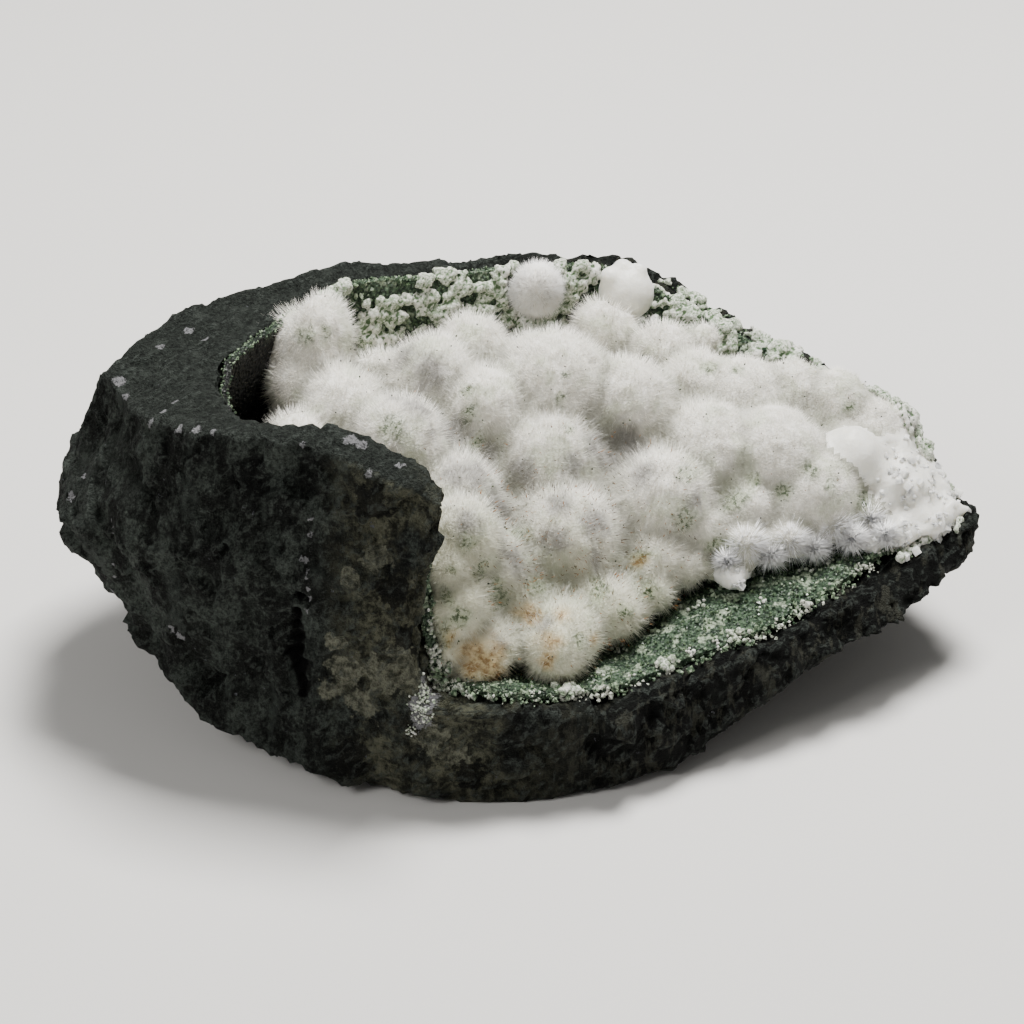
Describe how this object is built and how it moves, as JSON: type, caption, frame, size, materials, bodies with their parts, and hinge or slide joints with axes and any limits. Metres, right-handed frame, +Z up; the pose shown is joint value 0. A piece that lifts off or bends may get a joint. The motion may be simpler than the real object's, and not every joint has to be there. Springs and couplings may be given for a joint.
{
  "type": "okenite puffball specimen",
  "caption": "Half of a broken basalt hollow, lined with green druse and filled with fused white fuzzy okenite puffballs.",
  "frame": {"origin": "on the surface the specimen rests on, under the middle of its box", "axes": "+X along the length, from the high wall to the low thin end; +Y away from the open front; +Z up"},
  "size_m": [0.1902, 0.1234, 0.0796],
  "materials": {
    "basalt": "rough, matt, dark grey-green with paler chips and a few white veins",
    "druse": "fine green crystals that glint, with small white beads",
    "okenite": "soft fuzz of fine white needles, with a few green and rusty specks",
    "smooth_mineral": "smooth, milky and slightly pearly"
  },
  "bodies": {
    "root": {"basalt_matrix": "basalt", "druse_lining": "druse", "okenite_puffs": "okenite", "lone_puff": "okenite", "smooth_ball": "smooth_mineral"}
  },
  "joints": []
}
